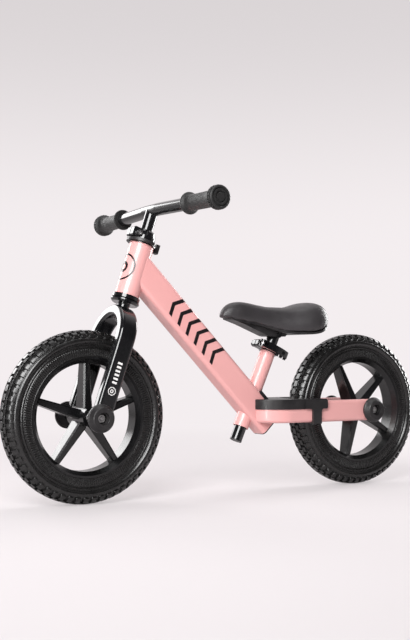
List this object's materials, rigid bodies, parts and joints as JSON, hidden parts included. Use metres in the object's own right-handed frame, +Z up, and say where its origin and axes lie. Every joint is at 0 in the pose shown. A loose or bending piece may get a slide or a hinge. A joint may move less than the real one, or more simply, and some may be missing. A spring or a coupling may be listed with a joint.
{
  "type": "balance bike",
  "caption": "Child's pedal-free balance bike: sloping box beam, arched fork, foam tyres on spoked rims, footrest over the rear fork, saddle on a clamped post.",
  "frame": {"origin": "on the ground, midway between the axles in the middle plane", "axes": "+X the riding direction, +Y the rider's left, +Z up"},
  "size_m": [0.862, 0.4324, 0.5169],
  "materials": {
    "frame_paint": "glossy pale pink",
    "black_paint": "glossy black",
    "black_plastic": "satin black",
    "rim_plastic": "glossy black",
    "tyre_foam": "matt black foam",
    "grip_rubber": "matt black",
    "saddle_foam": "fine-grained satin skin",
    "steel": "machined",
    "bolts": "bright zinc"
  },
  "bodies": {
    "frame": {"head_tube": "frame_paint", "main_beam": "frame_paint", "beam_end_plug": "black_plastic", "seat_tube": "frame_paint", "rear_stay_left": "frame_paint", "rear_stay_right": "frame_paint", "lower_headset_cup": "black_paint", "upper_headset_cup": "black_paint", "headset_balls": "steel", "steering_stop_block": "black_plastic", "seat_tube_sleeve": "black_plastic", "seat_clamp_collar": "black_paint", "seat_clamp_skewer": "steel", "seat_clamp_nut": "black_paint", "seat_clamp_washer": "black_plastic", "footrest_deck": "black_plastic", "footrest_clips": "black_plastic", "footrest_screws": "black_paint", "rear_bearing_inner_races": "steel", "rear_axle": "steel", "rear_axle_spacers": "steel", "rear_axle_nuts": "bolts", "rear_hub_cover_left": "black_plastic", "rear_hub_cover_right": "black_plastic"},
    "fork": {"fork_legs": "black_paint", "steerer_tube": "black_paint", "crown_bolt": "bolts", "headset_cones": "steel", "crown_cover": "black_paint", "steering_stop_ring": "black_plastic", "handlebar_clamp": "black_paint", "handlebar_clamp_bolt": "bolts", "handlebar_clamp_nut": "bolts", "front_bearing_inner_races": "steel", "front_axle": "steel", "front_axle_spacers": "steel", "front_axle_nuts": "bolts", "front_hub_cover_left": "black_plastic", "front_hub_cover_right": "black_plastic"},
    "handlebar": {"handlebar_stem": "black_paint", "handlebar_crossbar": "black_paint", "grip_left": "grip_rubber", "grip_right": "grip_rubber"},
    "front_wheel": {"front_tyre": "tyre_foam", "front_rim": "rim_plastic", "front_bearing_outer_races": "steel", "front_bearing_balls": "steel"},
    "rear_wheel": {"rear_tyre": "tyre_foam", "rear_rim": "rim_plastic", "rear_bearing_outer_races": "steel", "rear_bearing_balls": "steel"},
    "seat": {"seat_post": "black_paint", "seat_post_plug": "black_plastic", "saddle_base": "black_plastic", "saddle_cushion": "saddle_foam", "saddle_screw": "black_paint"},
    "clamp_lever": {"seat_clamp_lever": "black_paint"}
  },
  "joints": [
    {"name": "steering", "type": "hinge", "parent": "frame", "child": "fork", "pos_m": [0.2755, 0, 0.145], "axis": [-0.3173, 0, 0.9483], "range_deg": [-60, 60]},
    {"name": "front_wheel_spin", "type": "hinge", "parent": "fork", "child": "front_wheel", "pos_m": [0.286, 0, 0.145], "axis": [0, 1, 0], "continuous": true},
    {"name": "rear_wheel_spin", "type": "hinge", "parent": "frame", "child": "rear_wheel", "pos_m": [-0.286, 0, 0.145], "axis": [0, 1, 0], "continuous": true},
    {"name": "handlebar_height", "type": "slide", "parent": "fork", "child": "handlebar", "axis": [-0.3173, 0, 0.9483], "range_m": [-0.02, 0.05]},
    {"name": "seat_height", "type": "slide", "parent": "frame", "child": "seat", "axis": [-0.4067, 0, 0.9135], "range_m": [-0.01, 0.08]},
    {"name": "clamp_lever_swing", "type": "hinge", "parent": "frame", "child": "clamp_lever", "pos_m": [-0.06487, 0.0166, 0.27015], "axis": [0.4067, 0, -0.9135], "range_deg": [0, 145]}
  ]
}
